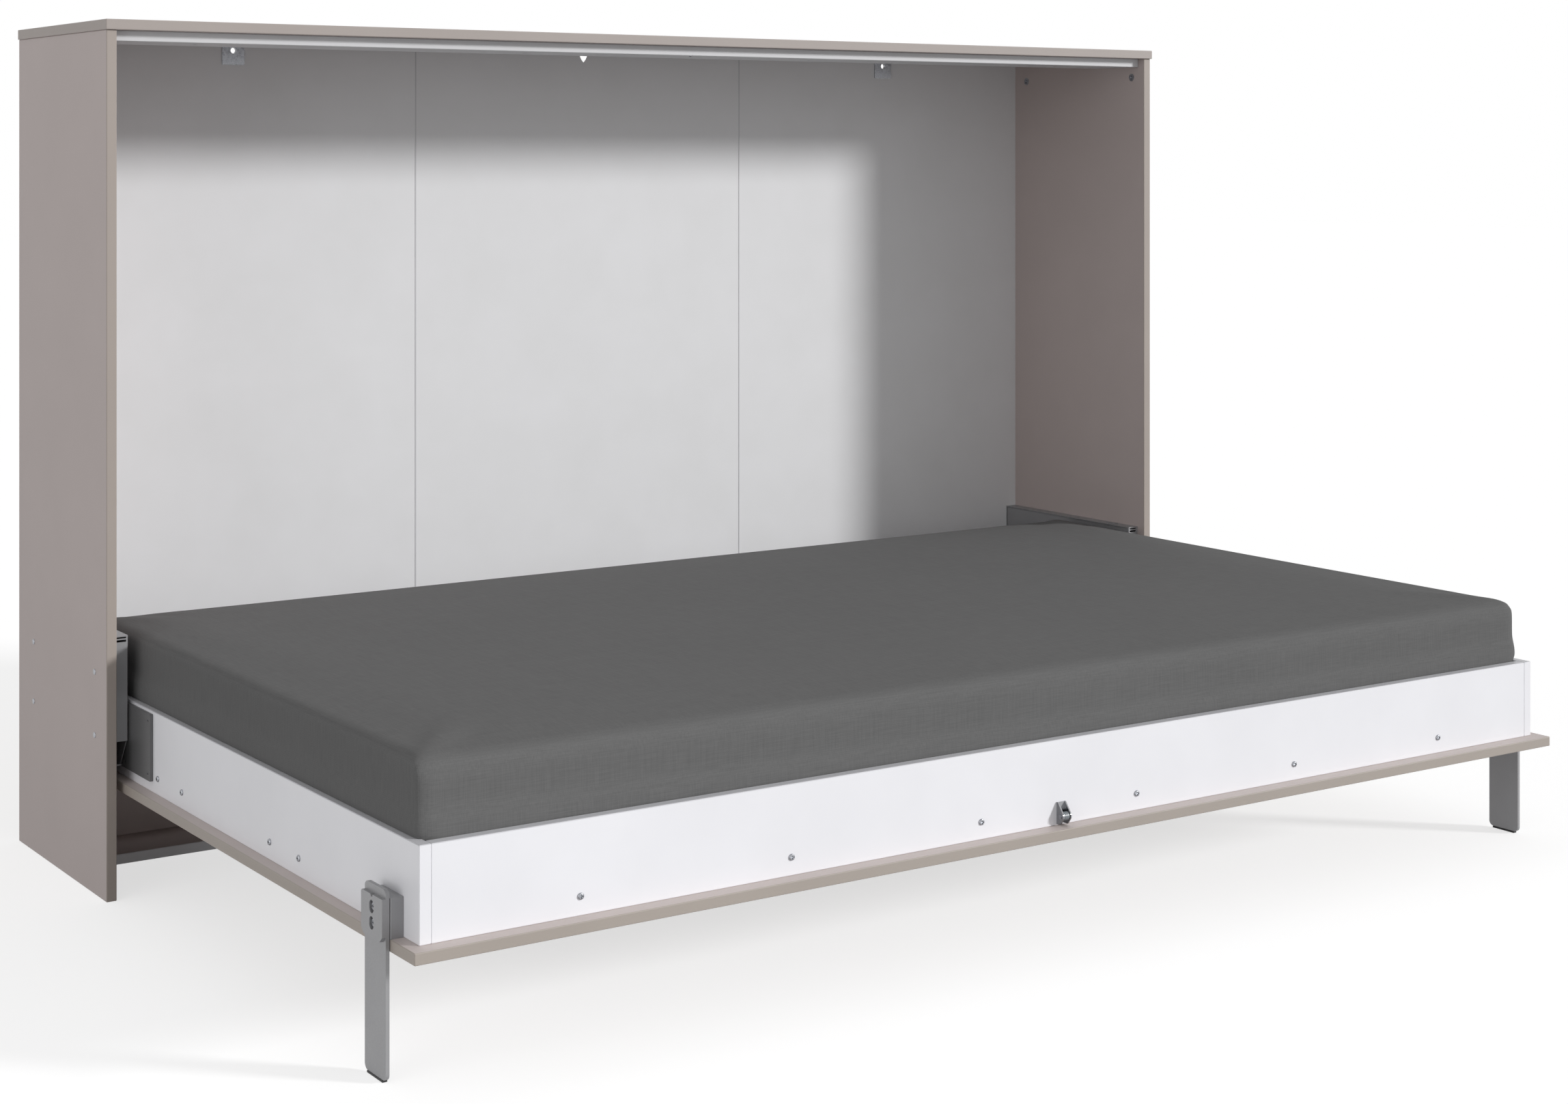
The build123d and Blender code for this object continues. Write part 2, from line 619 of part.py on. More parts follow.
# Pivot bush on the tray, shaft and lever on the bed
bush_end = tray_floor - BUSH_LENGTH
bush = round_x(bush_end, tray_floor, PIVOT_Y, PIVOT_HEIGHT, BUSH_RADIUS)
bush -= round_x(bush_end - PAST, tray_floor + PAST, PIVOT_Y, PIVOT_HEIGHT, SHAFT_RADIUS + RUNNING_GAP)
parts["pivot_bushes"] = group(bush, mirrored(bush))

shaft = round_x(BOX_SIDE, tray_floor - SHAFT_END_GAP, PIVOT_Y, PIVOT_HEIGHT, SHAFT_RADIUS)
parts["pivot_shafts"] = group(shaft, mirrored(shaft))

slot_half = PIN_RADIUS + PIN_PLAY
slot_start = PIN_RISE - PIN_RADIUS - PIN_END_PLAY
slot_end = hypot(PIN_RISE, PIN_RISE) + PIN_RADIUS + PIN_END_PLAY
arm_half = slot_half + LEVER_WALL
arm_end = slot_end + LEVER_TIP
lever = round_x(lever_side, lever_outer, 0, 0, LEVER_HUB)
lever += block(lever_side, lever_outer, 0, arm_end, -arm_half, arm_half)
lever -= block(lever_side - PAST, lever_outer + PAST, slot_start, slot_end, -slot_half, slot_half)
lever -= round_x(lever_side - PAST, lever_outer + PAST, 0, 0, SHAFT_RADIUS + RUNNING_GAP)
lever = Pos(0, PIVOT_Y, PIVOT_HEIGHT) * Rot(LEVER_ANGLE, 0, 0) * lever
parts["levers"] = group(lever, mirrored(lever))

# Drawbar with the pin in the lever's slot, a crosshead and three rods with pistons
eye = round_x(eye_side, eye_outer, pin_y, pin_height, EYE_RADIUS)
eye += block(eye_side, eye_outer, pin_y, crosshead_rear, pin_height - EYE_RADIUS, pin_height + EYE_RADIUS)
pin_start = lever_side - PIN_END_PLAY
eye += round_x(pin_start, eye_outer, pin_y, pin_height, PIN_RADIUS)
crosshead_half = CROSSHEAD_HEIGHT / 2
crosshead = block(
    tube_x - DRAWBAR_ROD,
    eye_outer,
    crosshead_rear - CROSSHEAD_THICKNESS,
    crosshead_rear,
    pin_height - crosshead_half,
    pin_height + crosshead_half,
)
drawbar = eye + crosshead
spring_front = tube_front + TUBE_CAP + SPRING_PLAY
spring_rear = spring_front + SPRING_OPEN_LENGTH
piston_front = spring_rear + SPRING_PLAY
bore = TUBE_RADIUS - TUBE_WALL
tubes = []
springs = []
for z in tube_heights:
    drawbar += round_y(tube_x, crosshead_rear, piston_front, z, DRAWBAR_ROD)
    drawbar += round_y(tube_x, piston_front, piston_front + PISTON_LENGTH, z, bore - PISTON_PLAY)
    tube = round_y(tube_x, tube_front, tube_rear, z, TUBE_RADIUS)
    tube -= round_y(tube_x, tube_front + TUBE_CAP, tube_rear - TUBE_CAP, z, bore)
    tube -= round_y(tube_x, tube_front - PAST, tube_front + TUBE_CAP + PAST, z, DRAWBAR_ROD + WEB_HOLE_PLAY)
    tubes += [tube, mirrored(tube)]
    spring = round_y(tube_x, spring_front, spring_rear, z, bore - PISTON_PLAY)
    spring -= round_y(tube_x, spring_front - PAST, spring_rear + PAST, z, bore - PISTON_PLAY - SPRING_WIRE)
    springs.append(spring)
pair("drawbar", drawbar)
parts["spring_tubes"] = group(*tubes)
pair("springs", group(*springs))


# Bed panel and box
panel = board(-PANEL_SIDE, PANEL_SIDE, PANEL_FRONT, PANEL_REAR, PANEL_UNDERSIDE, PANEL_TOP)
parts["front_panel"] = panel

box_screws = []
screw_height = PANEL_TOP + BOX_SCREW_HEIGHT


def box_board(x0, x1, y0, y1, screw_places):
    """A board of the box with its screws' clearance holes."""
    piece = board(x0, x1, y0, y1, PANEL_TOP, BOX_TOP)
    for place in screw_places:
        piece -= pan_screw_hole(place, SCREW_LENGTH)
    return piece


front_screws = [
    Pos(sign * (FRONT_SCREW_OFFSET + step * FRONT_SCREW_PITCH), BOX_FRONT, screw_height) * Rot(90, 0, 0)
    for sign in (-1, 1)
    for step in range(FRONT_SCREW_COUNT)
]
side_screw_depths = [
    BOX_FRONT + start + step * SIDE_SCREW_PITCH
    for start in (SIDE_SCREW_FRONT_PAIR, SIDE_SCREW_REAR_PAIR)
    for step in (0, 1)
]
side_screws = [Pos(BOX_SIDE, y, screw_height) * Rot(0, 90, 0) for y in side_screw_depths]

side_board = box_board(BOX_INSIDE, BOX_SIDE, BOX_FRONT, BOX_REAR, side_screws)
front_board = box_board(-BOX_INSIDE, BOX_INSIDE, BOX_FRONT, BOX_FRONT + BOARD, front_screws)
parts["front_board"] = front_board
parts["rear_board"] = box_board(-BOX_INSIDE, BOX_INSIDE, BOX_REAR - BOARD, BOX_REAR, [])
for place in front_screws:
    box_screws.append(pan_screw(place, SCREW_LENGTH))
for place in side_screws:
    box_screws += [pan_screw(place, SCREW_LENGTH), mirrored(pan_screw(place, SCREW_LENGTH))]
parts["box_screws"] = group(*box_screws)

# Battens inside the box, a centre beam, and the slats on them
batten_front = BOX_FRONT + BOARD
batten_rear = BOX_REAR - BOARD
front_batten = block(
    -BOX_INSIDE, BOX_INSIDE, batten_front, batten_front + BATTEN_WIDTH, PANEL_TOP, SLAT_BOTTOM
)
for place in front_screws:
    front_batten -= pan_screw_hole(place, SCREW_LENGTH)
parts["front_batten"] = front_batten
parts["rear_batten"] = block(
    -BOX_INSIDE, BOX_INSIDE, batten_rear - BATTEN_WIDTH, batten_rear, PANEL_TOP, SLAT_BOTTOM
)
side_batten = block(
    BOX_INSIDE - BATTEN_WIDTH,
    BOX_INSIDE,
    batten_front + BATTEN_WIDTH,
    batten_rear - BATTEN_WIDTH,
    PANEL_TOP,
    SLAT_BOTTOM,
)
for place in side_screws:
    side_batten -= pan_screw_hole(place, SCREW_LENGTH)
pair("batten", side_batten)
box_middle = (BOX_FRONT + BOX_REAR) / 2
beam_end = BOX_INSIDE - BATTEN_WIDTH
beam_half = BATTEN_WIDTH / 2
parts["centre_beam"] = block(
    -beam_end, beam_end, box_middle - beam_half, box_middle + beam_half, PANEL_TOP, SLAT_BOTTOM
)
slat_room = 2 * (BOX_INSIDE - SLAT_PLAY) - SLAT_WIDTH
slats = []
for index in range(SLAT_COUNT):
    x = -slat_room / 2 + index * slat_room / (SLAT_COUNT - 1)
    slats.append(
        block(
            x - SLAT_WIDTH / 2,
            x + SLAT_WIDTH / 2,
            batten_front + SLAT_PLAY,
            batten_rear - SLAT_PLAY,
            SLAT_BOTTOM,
            MATTRESS_BOTTOM,
        )
    )
parts["slats"] = group(*slats)

# Mattress: a foam block with rounded edges, its ends pressed in between the end boards
lip_height = BOX_TOP + MATTRESS_LIP_GAP
upper = block(-MATTRESS_END, MATTRESS_END, MATTRESS_FRONT, MATTRESS_REAR, lip_height, MATTRESS_TOP)
top_edges = edges_along_x(upper).group_by(Axis.Z)[-1].sort_by(Axis.Y)
upper = fillet(top_edges[0], MATTRESS_FRONT_EDGE)
rear_edge = edges_along_x(upper).group_by(Axis.Z)[-1].sort_by(Axis.Y)[-1]
upper = fillet(rear_edge, MATTRESS_REAR_EDGE)
for end in (upper.faces().sort_by(Axis.X)[0], upper.faces().sort_by(Axis.X)[-1]):
    rounded = [edge for edge in end.edges() if edge.center().Z > lip_height + PAST]
    upper = fillet(rounded, MATTRESS_END_EDGE)
lower_end = MATTRESS_END - MATTRESS_SQUEEZE
lower = block(-lower_end, lower_end, MATTRESS_FRONT, MATTRESS_REAR, MATTRESS_BOTTOM, lip_height)
lower = fillet(lower.edges().filter_by(Axis.Z), MATTRESS_CORNER)
parts["mattress"] = upper + lower

# Pivot plate, screwed on each end of the box
plate = block(
    BOX_SIDE,
    PLATE_SIDE,
    PIVOT_Y - PLATE_FRONT,
    PIVOT_Y + PLATE_REAR,
    PIVOT_HEIGHT - PLATE_HALF_HEIGHT,
    PIVOT_HEIGHT + PLATE_HALF_HEIGHT,
)
plate = fillet(edges_along_x(plate), PLATE_CORNER)
plate -= round_x(BOX_SIDE - PAST, PLATE_SIDE + PAST, PIVOT_Y, PIVOT_HEIGHT, SHAFT_RADIUS + RUNNING_GAP)
plate_screw_depths = [
    PIVOT_Y + PLATE_SCREW_START - step * PLATE_SCREW_PITCH for step in range(3)
]
plate_screws = []
for y in plate_screw_depths:
    for z in (PIVOT_HEIGHT - PLATE_SCREW_HALF_HEIGHT, PIVOT_HEIGHT + PLATE_SCREW_HALF_HEIGHT):
        place = Pos(PLATE_SIDE, y, z) * Rot(0, 90, 0)
        hole = screw_hole(place, PLATE_SCREW_LENGTH, PLATE_SCREW_HEAD, PLATE_SCREW_SHANK)
        plate -= hole
        side_board -= hole
        piece = screw(place, PLATE_SCREW_LENGTH, PLATE_SCREW_HEAD, PLATE_SCREW_SHANK)
        plate_screws += [piece, mirrored(piece)]
pair("pivot_plate", plate)
pair("side_board", side_board)
parts["plate_screws"] = group(*plate_screws)


# Legs, each hinged on a bracket at a front corner of the bed
leg_front = BOX_FRONT + LEG_BEHIND_BOX_FRONT
leg_rear = leg_front + LEG_WIDTH
leg_middle = (leg_front + leg_rear) / 2
leg_pin_height = PANEL_TOP + LEG_BRACKET_HEIGHT / 2
leg_plate_outer = LEG_PLATE_INNER + LEG_PLATE
bracket_top = PANEL_TOP + LEG_BRACKET_HEIGHT
leg_bracket = block(BOX_SIDE, PANEL_SIDE, leg_front, leg_rear, PANEL_TOP, bracket_top)
leg_bracket = fillet(leg_bracket.edges().filter_by(Axis.Z), EDGE)
leg_bracket -= block(
    BOX_SIDE + LEG_BRACKET_BASE,
    PANEL_SIDE - LEG_BRACKET_WALL,
    leg_front + LEG_BRACKET_WALL,
    leg_rear + PAST,
    PANEL_TOP + LEG_BRACKET_BASE,
    bracket_top - LEG_BRACKET_BASE,
)
leg_bracket -= round_x(
    PANEL_SIDE - LEG_BRACKET_WALL - PAST, PANEL_SIDE + PAST, leg_middle, leg_pin_height, LEG_PIN + SCREW_FIT
)
pair("leg_bracket", leg_bracket)

head_face = PANEL_SIDE - LEG_BRACKET_WALL
leg_pin = round_x(head_face, LEG_PLATE_INNER - SHAFT_END_GAP, leg_middle, leg_pin_height, LEG_PIN)
leg_pin += round_x(head_face - LEG_PIN_HEAD_HEIGHT, head_face, leg_middle, leg_pin_height, LEG_PIN_HEAD)

leg_bar = block(LEG_BAR_INNER, LEG_PLATE_INNER, leg_front, leg_rear, PAD_HEIGHT, PANEL_TOP + LEG_TOP)
leg_bar = fillet(edges_along_x(leg_bar), LEG_CORNER)
leg_bar -= round_x(
    LEG_BAR_INNER - PAST, LEG_PLATE_INNER + PAST, leg_middle, leg_pin_height, LEG_PIN + RUNNING_GAP
)

head_bottom = PANEL_TOP - HEAD_PLATE_DROP
head_plate = sheet_x(
    LEG_PLATE_INNER,
    leg_plate_outer,
    [
        (leg_front, head_bottom + HEAD_PLATE_CHAMFER),
        (leg_front, bracket_top),
        (leg_rear - HEAD_PLATE_CORNER, bracket_top),
        (leg_rear, bracket_top - HEAD_PLATE_CORNER),
        (leg_rear, head_bottom + HEAD_PLATE_CHAMFER),
        (leg_rear - HEAD_PLATE_CHAMFER, head_bottom),
        (leg_front + HEAD_PLATE_CHAMFER, head_bottom),
    ],
)
head_plate -= round_x(
    LEG_PLATE_INNER - PAST, leg_plate_outer + PAST, leg_middle, bracket_top, HEAD_PLATE_NOTCH
)
leg_screws = []
for z in (leg_pin_height - LEG_SCREW_PITCH / 2, leg_pin_height + LEG_SCREW_PITCH / 2):
    slot_half_straight = (HEAD_SLOT_LENGTH - HEAD_SLOT_WIDTH) / 2
    for end in (z - slot_half_straight, z + slot_half_straight):
        head_plate -= round_x(
            LEG_PLATE_INNER - PAST, leg_plate_outer + PAST, leg_middle, end, HEAD_SLOT_WIDTH / 2
        )
    head_plate -= block(
        LEG_PLATE_INNER - PAST,
        leg_plate_outer + PAST,
        leg_middle - HEAD_SLOT_WIDTH / 2,
        leg_middle + HEAD_SLOT_WIDTH / 2,
        z - slot_half_straight,
        z + slot_half_straight,
    )
    leg_bar -= round_x(
        LEG_BAR_INNER - PAST, LEG_PLATE_INNER + PAST, leg_middle, z, LEG_SCREW_SHANK + SCREW_FIT
    )
    head_end = LEG_PLATE_INNER + LEG_SCREW_HEAD_HEIGHT
    leg_screw = round_x(LEG_PLATE_INNER, head_end, leg_middle, z, LEG_SCREW_HEAD)
    leg_screw = fillet(leg_screw.edges().sort_by(Axis.X)[-1], LEG_SCREW_EDGE)
    leg_screw += round_x(LEG_BAR_INNER, LEG_PLATE_INNER, leg_middle, z, LEG_SCREW_SHANK)
    recess = cross_recess(LEG_SCREW_HEAD * 0.8, LEG_SCREW_RECESS)
    leg_screw -= Pos(head_end, leg_middle, z) * Rot(0, 90, 0) * recess
    leg_screws.append(leg_screw)
pair("leg_bar", leg_bar)
pair("leg_head_plate", head_plate)
pair("leg_screws", group(*leg_screws))

pad_middle = (LEG_BAR_INNER + LEG_PLATE_INNER) / 2
pad = block(
    pad_middle - PAD_THICKNESS / 2,
    pad_middle + PAD_THICKNESS / 2,
    leg_middle - PAD_WIDTH / 2,
    leg_middle + PAD_WIDTH / 2,
    0,
    PAD_HEIGHT,
)
pair("foot_pad", fillet(pad.edges(), PAD_EDGE))


# Roller catch in the middle of the box's front board
catch_bottom = PANEL_TOP + CATCH_RISE
catch_half = CATCH_WIDTH / 2
catch_outline = [
    (BOX_FRONT, catch_bottom),
    (BOX_FRONT, catch_bottom + CATCH_HEIGHT),
    (BOX_FRONT - CATCH_SHOULDER, catch_bottom + CATCH_HEIGHT),
    (BOX_FRONT - CATCH_DEPTH, catch_bottom + CATCH_NOSE_HIGH),
    (BOX_FRONT - CATCH_DEPTH, catch_bottom + CATCH_NOSE_LOW),
    (BOX_FRONT - CATCH_FOOT, catch_bottom),
]
roller_y = BOX_FRONT - ROLLER_REACH
roller_z = catch_bottom + ROLLER_RISE
catch = sheet_x(-catch_half, catch_half, catch_outline)
catch = fillet(edges_along_x(catch).group_by(Axis.Y)[0], CATCH_NOSE_RADIUS)
catch -= block(
    -catch_half + CATCH_SHEET,
    catch_half - CATCH_SHEET,
    BOX_FRONT - CATCH_DEPTH - PAST,
    BOX_FRONT - CATCH_SHEET,
    catch_bottom - PAST,
    catch_bottom + CATCH_HEIGHT + PAST,
)
catch -= round_x(-catch_half - PAST, catch_half + PAST, roller_y, roller_z, ROLLER_PIN + SCREW_FIT)
parts["roller_bracket"] = catch

roller_half = catch_half - CATCH_SHEET - ROLLER_SIDE_PLAY
roller = round_x(-roller_half, roller_half, roller_y, roller_z, ROLLER_RADIUS)
roller = fillet(roller.edges(), ROLLER_EDGE)
roller -= round_x(-catch_half, catch_half, roller_y, roller_z, ROLLER_PIN + RUNNING_GAP)
parts["roller"] = roller

roller_pin = round_x(-catch_half, catch_half, roller_y, roller_z, ROLLER_PIN)
for sign in (-1, 1):
    x = sign * (catch_half + RIVET_HEAD_HEIGHT / 2)
    head = round_x(x - RIVET_HEAD_HEIGHT / 2, x + RIVET_HEAD_HEIGHT / 2, roller_y, roller_z, RIVET_HEAD)
    roller_pin += head
parts["pivot_pins"] = group(leg_pin, mirrored(leg_pin), roller_pin)

# Sprung plunger under the top rail, just in front of the closed roller
closed_roller_y = PIVOT_Y + roller_z - PIVOT_HEIGHT
plunger_y = closed_roller_y - PLUNGER_BEFORE_ROLLER
nose_z = RAIL_UNDERSIDE - PLUNGER_PROUD + PLUNGER_RADIUS
sleeve_top = RAIL_UNDERSIDE + SLEEVE_HEIGHT
sleeve_bore = PLUNGER_RADIUS + PLUNGER_FIT
rail -= round_z(0, plunger_y, RAIL_UNDERSIDE - PAST, sleeve_top, SLEEVE_RADIUS)
parts["top_rail"] = rail
sleeve = round_z(0, plunger_y, RAIL_UNDERSIDE, sleeve_top, SLEEVE_RADIUS)
sleeve -= round_z(0, plunger_y, RAIL_UNDERSIDE - PAST, sleeve_top - SLEEVE_CAP, sleeve_bore)
parts["catch_sleeve"] = sleeve
plunger_top = nose_z + PLUNGER_LENGTH
plunger = round_z(0, plunger_y, nose_z, plunger_top, PLUNGER_RADIUS)
plunger += Pos(0, plunger_y, nose_z) * Sphere(PLUNGER_RADIUS)
parts["catch_plunger"] = plunger
catch_spring = round_z(0, plunger_y, plunger_top, sleeve_top - SLEEVE_CAP, CATCH_SPRING_RADIUS)
catch_spring -= round_z(
    0, plunger_y, plunger_top - PAST, sleeve_top, CATCH_SPRING_RADIUS - CATCH_SPRING_WIRE
)
parts["catch_spring"] = catch_spring

os.makedirs("parts", exist_ok=True)
for name, shape in parts.items():
    shape.label = name
    export_step(shape, "parts/" + name + ".step")
print(len(parts), "parts written")
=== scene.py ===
# %% [markdown]
# # A wall bed that folds sideways into a shallow cabinet
# The bed's rigid pieces are solids from CAD, in metres, each already in its place. A solid has the
# right size but no finish, and a foam mattress made as a solid looks like a block. This lesson gives
# every piece the surface that it has on the real bed, and makes the mattress again as a soft piece.

import math

import bpy
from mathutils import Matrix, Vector


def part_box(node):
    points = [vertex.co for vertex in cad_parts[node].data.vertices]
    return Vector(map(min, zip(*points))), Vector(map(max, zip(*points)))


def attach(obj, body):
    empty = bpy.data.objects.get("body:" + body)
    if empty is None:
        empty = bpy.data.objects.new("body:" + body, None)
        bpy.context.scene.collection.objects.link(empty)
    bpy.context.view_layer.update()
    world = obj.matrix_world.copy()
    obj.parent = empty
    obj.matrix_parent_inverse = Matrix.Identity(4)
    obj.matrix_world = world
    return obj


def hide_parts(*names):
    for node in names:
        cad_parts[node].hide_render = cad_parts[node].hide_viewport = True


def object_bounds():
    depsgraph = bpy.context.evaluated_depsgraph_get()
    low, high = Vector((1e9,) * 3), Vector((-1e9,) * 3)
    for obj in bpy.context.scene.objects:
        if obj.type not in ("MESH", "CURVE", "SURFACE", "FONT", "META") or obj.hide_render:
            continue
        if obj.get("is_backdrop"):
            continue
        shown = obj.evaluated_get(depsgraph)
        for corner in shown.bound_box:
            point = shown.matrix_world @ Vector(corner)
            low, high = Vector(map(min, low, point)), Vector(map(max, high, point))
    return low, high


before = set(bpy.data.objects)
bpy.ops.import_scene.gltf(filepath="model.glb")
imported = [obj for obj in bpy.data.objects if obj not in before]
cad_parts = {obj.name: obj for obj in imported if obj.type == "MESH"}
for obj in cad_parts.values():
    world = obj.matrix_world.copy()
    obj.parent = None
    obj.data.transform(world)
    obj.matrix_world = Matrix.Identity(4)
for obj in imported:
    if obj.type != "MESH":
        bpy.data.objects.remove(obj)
cad_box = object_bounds()
MM = 0.001
print("pieces from CAD:", len(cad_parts))

# %% [markdown]
# ## The camera
# The picture was taken from the left of the bed, level, at about chest height, and the frame was then
# shifted down, as an architect's lens does, so that upright edges stay upright. Turning the camera
# down instead would make them lean together. The shift is a share of the frame's width.

# %% A level camera with a shifted frame
CAMERA_PLACE = (-2.3728, -3.4344, 1.1214)
CAMERA_TURN = 33.585
CAMERA_LENS = 58.46
FRAME_SHIFT = (0.0260, -0.2523)
SENSOR_WIDTH = 36            # mm, as the lens
FAR_LIMIT = 60

view = bpy.data.cameras.new("view")
view.lens = CAMERA_LENS
view.sensor_width = SENSOR_WIDTH
view.shift_x, view.shift_y = FRAME_SHIFT
view.clip_end = FAR_LIMIT
camera = bpy.data.objects.new("view", view)
camera.location = CAMERA_PLACE
camera.rotation_euler = (math.radians(90), 0, math.radians(-CAMERA_TURN))
bpy.context.scene.collection.objects.link(camera)
bpy.context.scene.camera = camera
print("camera height:", camera.location.z, "m")

# %% [markdown]
# ## Helpers for materials
# A material is a small network of nodes. Written out one by one the nodes fill pages, so one helper adds
# a node together with its settings and its links. Colours are picked as hex values from a screen, while
# Blender calculates with linear light, so one function turns the first into the second.

# %% Colour, node and material helpers
NOISE_RANGE = (0.3, 0.7)     # almost all of a noise lies in here
WAVE_UNIT = math.tau / 20    # a wave texture repeats every tau / 20 at scale 1


def hex_colour(code):
    """A screen colour such as A09793 as linear light."""
    screen = [int(code[i : i + 2], 16) / 255 for i in (0, 2, 4)]
    linear = [c / 12.92 if c <= 0.04045 else ((c + 0.055) / 1.055) ** 2.4 for c in screen]
    return (*linear, 1)


def add(tree, kind, inputs=None, **settings):
    """Add a node with its settings; an input is a value or another node's output."""
    node = tree.nodes.new(kind)
    for name, value in settings.items():
        setattr(node, name, value)
    for name, value in (inputs or {}).items():
        if isinstance(value, bpy.types.NodeSocket):
            tree.links.new(value, node.inputs[name])
        else:
            node.inputs[name].default_value = value
    return node


def new_finish(name):
    """An empty material, its tree, its shader and the place of a point on the piece, in metres."""
    material = bpy.data.materials.new(name)
    material.use_nodes = True
    tree = material.node_tree
    shader = tree.nodes["Principled BSDF"]
    place = add(tree, "ShaderNodeTexCoord").outputs["Object"]
    return material, tree, shader, place


def dress(material, *nodes):
    """Give CAD pieces this material."""
    for name in nodes:
        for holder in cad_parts[name].material_slots:
            holder.material = material
    dressed.update(nodes)
    print(material.name, "on", len(nodes), "pieces")


def scale_of(size):
    """A noise texture's scale for features of a size in metres."""
    return 1 / size


def noise(tree, place, size, detail):
    """A noise with features of a size in metres."""
    settings = {"Vector": place, "Scale": scale_of(size), "Detail": detail}
    return add(tree, "ShaderNodeTexNoise", settings).outputs[0]


def ranged(tree, value, low, high):
    """A noise's usual range stretched to the range from low to high."""
    limits = {0: value, 1: NOISE_RANGE[0], 2: NOISE_RANGE[1], 3: low, 4: high}
    return add(tree, "ShaderNodeMapRange", limits).outputs[0]


def blended(tree, amount, first, second):
    """The first colour at amount 0, the second at amount 1."""
    layers = {0: amount, 6: first, 7: second}
    return add(tree, "ShaderNodeMix", layers, data_type="RGBA").outputs[2]


def calculated(tree, operation, *values):
    """A Math node's result; each value is a number or another node's output."""
    return add(tree, "ShaderNodeMath", dict(enumerate(values)), operation=operation).outputs[0]


def emboss(tree, shader, height, strength, distance):
    """Relief on the surface, without moving its mesh."""
    bump = {"Height": height, "Strength": strength, "Distance": distance}
    tree.links.new(add(tree, "ShaderNodeBump", bump).outputs[0], shader.inputs["Normal"])


dressed = set()

# %% [markdown]
# ## Light
# The bed stands in a plain white studio. A large lamp, far off to the right and a little above, throws
# the soft shadows of the top and of the right side panel on the back of the cabinet. A sun lamp with a
# wide angle does the same with one number for the softness. The white walls of the studio are the
# world's even light, and a dim panel on the left lifts the side that faces it.

# %% The key light and the left panel
KEY_DIRECTION = Vector((0.684, -0.658, 0.316))
KEY_STRENGTH = 2.45
KEY_SOFTNESS = 9
LEFT_PANEL_PLACE = Vector((-4.6, -1.6, 0.9))
LEFT_PANEL_SIZE = 3.0
LEFT_PANEL_POWER = 46
OBJECT_MIDDLE = Vector((0, 0, 0.6))

key = bpy.data.lights.new("key", "SUN")
key.energy = KEY_STRENGTH
key.angle = math.radians(KEY_SOFTNESS)
key_lamp = bpy.data.objects.new("key", key)
key_lamp.rotation_euler = KEY_DIRECTION.to_track_quat("Z", "Y").to_euler()
left_panel = bpy.data.lights.new("left_panel", "AREA")
left_panel.energy = LEFT_PANEL_POWER
left_panel.size = LEFT_PANEL_SIZE
left_lamp = bpy.data.objects.new("left_panel", left_panel)
left_lamp.location = LEFT_PANEL_PLACE
left_lamp.rotation_euler = (LEFT_PANEL_PLACE - OBJECT_MIDDLE).to_track_quat("Z", "Y").to_euler()
for lamp in (key_lamp, left_lamp):
    bpy.context.scene.collection.objects.link(lamp)
bpy.context.scene.view_settings.view_transform = "Standard"
print("key light", KEY_STRENGTH, "left panel", LEFT_PANEL_POWER)

# %% [markdown]
# The background is pure white, but a world that bright would wash out the bed. Light Path tells a ray
# that goes to the camera, or that a shiny surface sends on, from one that lights a surface, so the
# world shows white to the first and gives a lower light to the second.

# %% The world
WORLD_LIGHT = 0.45

world = bpy.data.worlds.new("studio")
world.use_nodes = True
bpy.context.scene.world = world
sky = world.node_tree
sky.nodes.clear()


def seen_directly(tree):
    """1 for rays of the camera, of reflections and through glass, 0 for the ones that light things."""
    path = add(tree, "ShaderNodeLightPath")
    seen = calculated(tree, "MAXIMUM", path.outputs["Is Camera Ray"], path.outputs["Is Glossy Ray"])
    return calculated(tree, "MAXIMUM", seen, path.outputs["Is Transmission Ray"])


level = calculated(sky, "MULTIPLY_ADD", seen_directly(sky), 1 - WORLD_LIGHT, WORLD_LIGHT)
studio = add(sky, "ShaderNodeBackground", {"Color": (1, 1, 1, 1), "Strength": level})
add(sky, "ShaderNodeOutputWorld", {"Surface": studio.outputs[0]})
print("world light", WORLD_LIGHT)

# %% [markdown]
# ## The floor
# A single large plane is the studio's pale floor. Its paint is grey enough not to throw too much light
# back up at the bed, and the camera sees a glow added to it, which brings the open floor to white while
# the bed's shadow stays.

# %% A pale floor that keeps the shadow
FLOOR_SIZE = 60
FLOOR_PAINT = "BABABA"
FLOOR_GLOW = 0.66

bpy.ops.object.select_all(action="DESELECT")
bpy.ops.mesh.primitive_plane_add(size=FLOOR_SIZE)
floor = bpy.context.object
floor.name = "studio_floor"
floor_paint = bpy.data.materials.new("matt_studio_paint")
floor_paint.use_nodes = True
tree = floor_paint.node_tree
tree.nodes.clear()
glow = calculated(tree, "MULTIPLY", seen_directly(tree), FLOOR_GLOW)
paint = add(tree, "ShaderNodeBsdfDiffuse", {"Color": hex_colour(FLOOR_PAINT)})
shine = add(tree, "ShaderNodeEmission", {"Strength": glow})
both = add(tree, "ShaderNodeAddShader", {0: paint.outputs[0], 1: shine.outputs[0]})
add(tree, "ShaderNodeOutputMaterial", {"Surface": both.outputs[0]})
floor.data.materials.append(floor_paint)
floor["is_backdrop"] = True
print("floor", FLOOR_SIZE, "m wide")

# %% [markdown]
# ## Coated boards
# The cabinet is melamine-faced chipboard: a printed paper soaked in resin, pressed hot against a steel
# sheet with fine pearls, so the face is matt and very slightly rough. The long front edges carry a strip
# of plastic edging, which is a little darker and smoother than the face. The colour is nearly even:
# only soft clouds a hand wide and the pearls change it. A noise of each size gives them, and the edging
# is picked out by where a point lies on the board, because its node is one solid.

